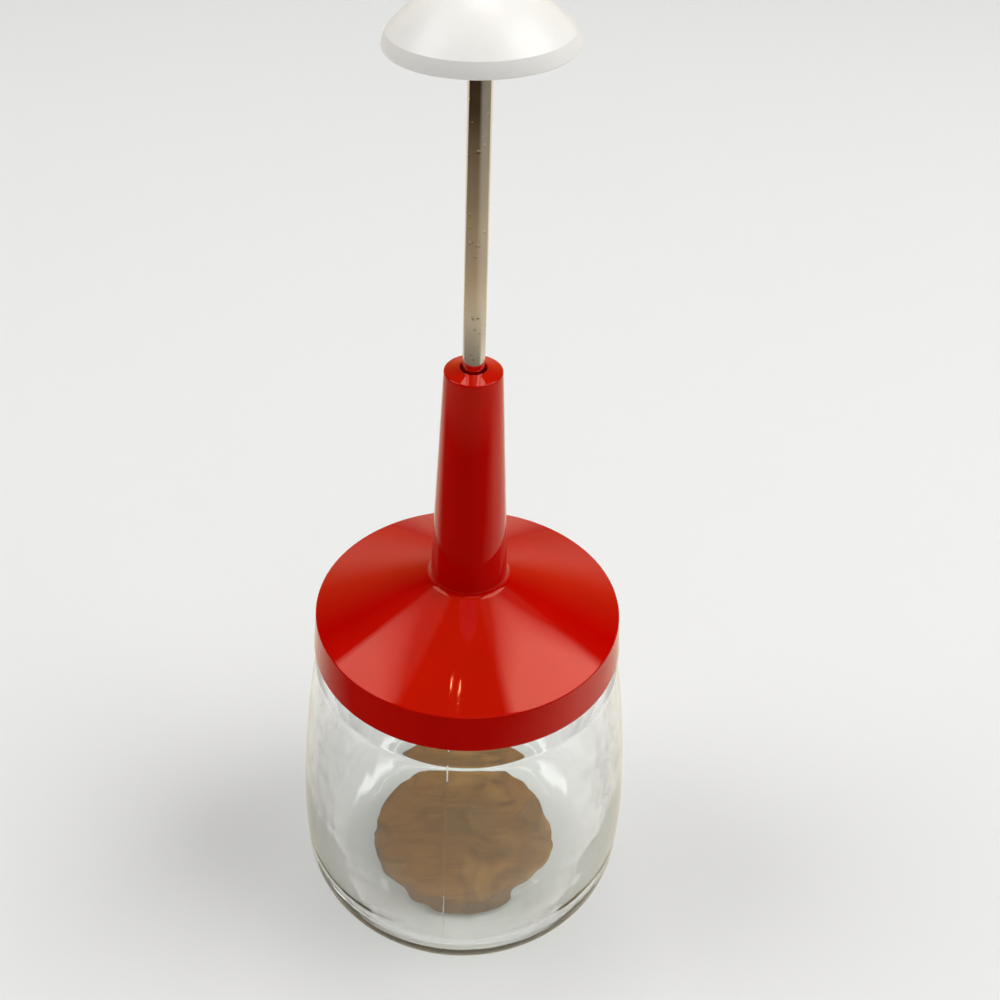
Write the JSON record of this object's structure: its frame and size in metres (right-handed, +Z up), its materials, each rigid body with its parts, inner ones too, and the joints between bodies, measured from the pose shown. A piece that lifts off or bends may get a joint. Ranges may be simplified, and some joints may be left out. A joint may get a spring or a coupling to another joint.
{
  "type": "plunger food chopper",
  "caption": "Hand food chopper: glass jar with a wooden chopping disc, screw lid with a tall tower, and a sprung plunger with a knob above and folded blades below.",
  "frame": {"origin": "centre of the jar's base, on the surface it stands on", "axes": "+Z up along the plunger's axis, -Y towards the front of the picture"},
  "size_m": [0.0966, 0.0966, 0.273],
  "materials": {
    "clear_glass": "clear pressed glass, glossy",
    "chopping_wood": "worn bare hardwood",
    "lid_red": "glossy moulded red plastic",
    "knob_white": "satin off-white plastic",
    "liner_board": "pale pulp board",
    "bush_nylon": "natural nylon",
    "rod_chrome": "bright chrome plate, lightly pitted",
    "spring_steel": "bright drawn wire",
    "blade_steel": "rolled stainless sheet",
    "clip_steel": "blackened spring steel"
  },
  "bodies": {
    "jar": {"glass_jar": "clear_glass", "chopping_disc": "chopping_wood"},
    "liner": {"lid_liner": "liner_board"},
    "lid": {"lid": "lid_red", "guide_bush": "bush_nylon", "return_spring": "spring_steel"},
    "collar": {"spring_washer": "spring_steel"},
    "plunger": {"retaining_clip": "clip_steel", "plunger_rod": "rod_chrome", "knob": "knob_white", "blade_washer": "blade_steel", "blade_carrier": "blade_steel", "front_blade": "blade_steel", "rear_blade": "blade_steel", "blade_nut": "rod_chrome"}
  },
  "joints": [
    {"name": "lid_rise", "type": "slide", "parent": "jar", "child": "liner", "axis": [0, 0, 1], "range_m": [0, 0.0046]},
    {"name": "lid_turn", "type": "hinge", "parent": "liner", "child": "lid", "pos_m": [0, 0, 0.1], "axis": [0, 0, 1], "range_deg": [0, 360]},
    {"name": "plunger_press", "type": "slide", "parent": "lid", "child": "collar", "axis": [0, 0, -1], "range_m": [0, 0.056], "stiffness_N_per_m": 150, "springref_m": -0.04, "deforming": ["return_spring"]},
    {"name": "plunger_spin", "type": "hinge", "parent": "collar", "child": "plunger", "pos_m": [0, 0, 0.18], "axis": [0, 0, 1], "continuous": true}
  ],
  "couplings": [
    {"joint": "lid_rise", "follows": "lid_turn", "m_per_rad": 0.0007162}
  ]
}
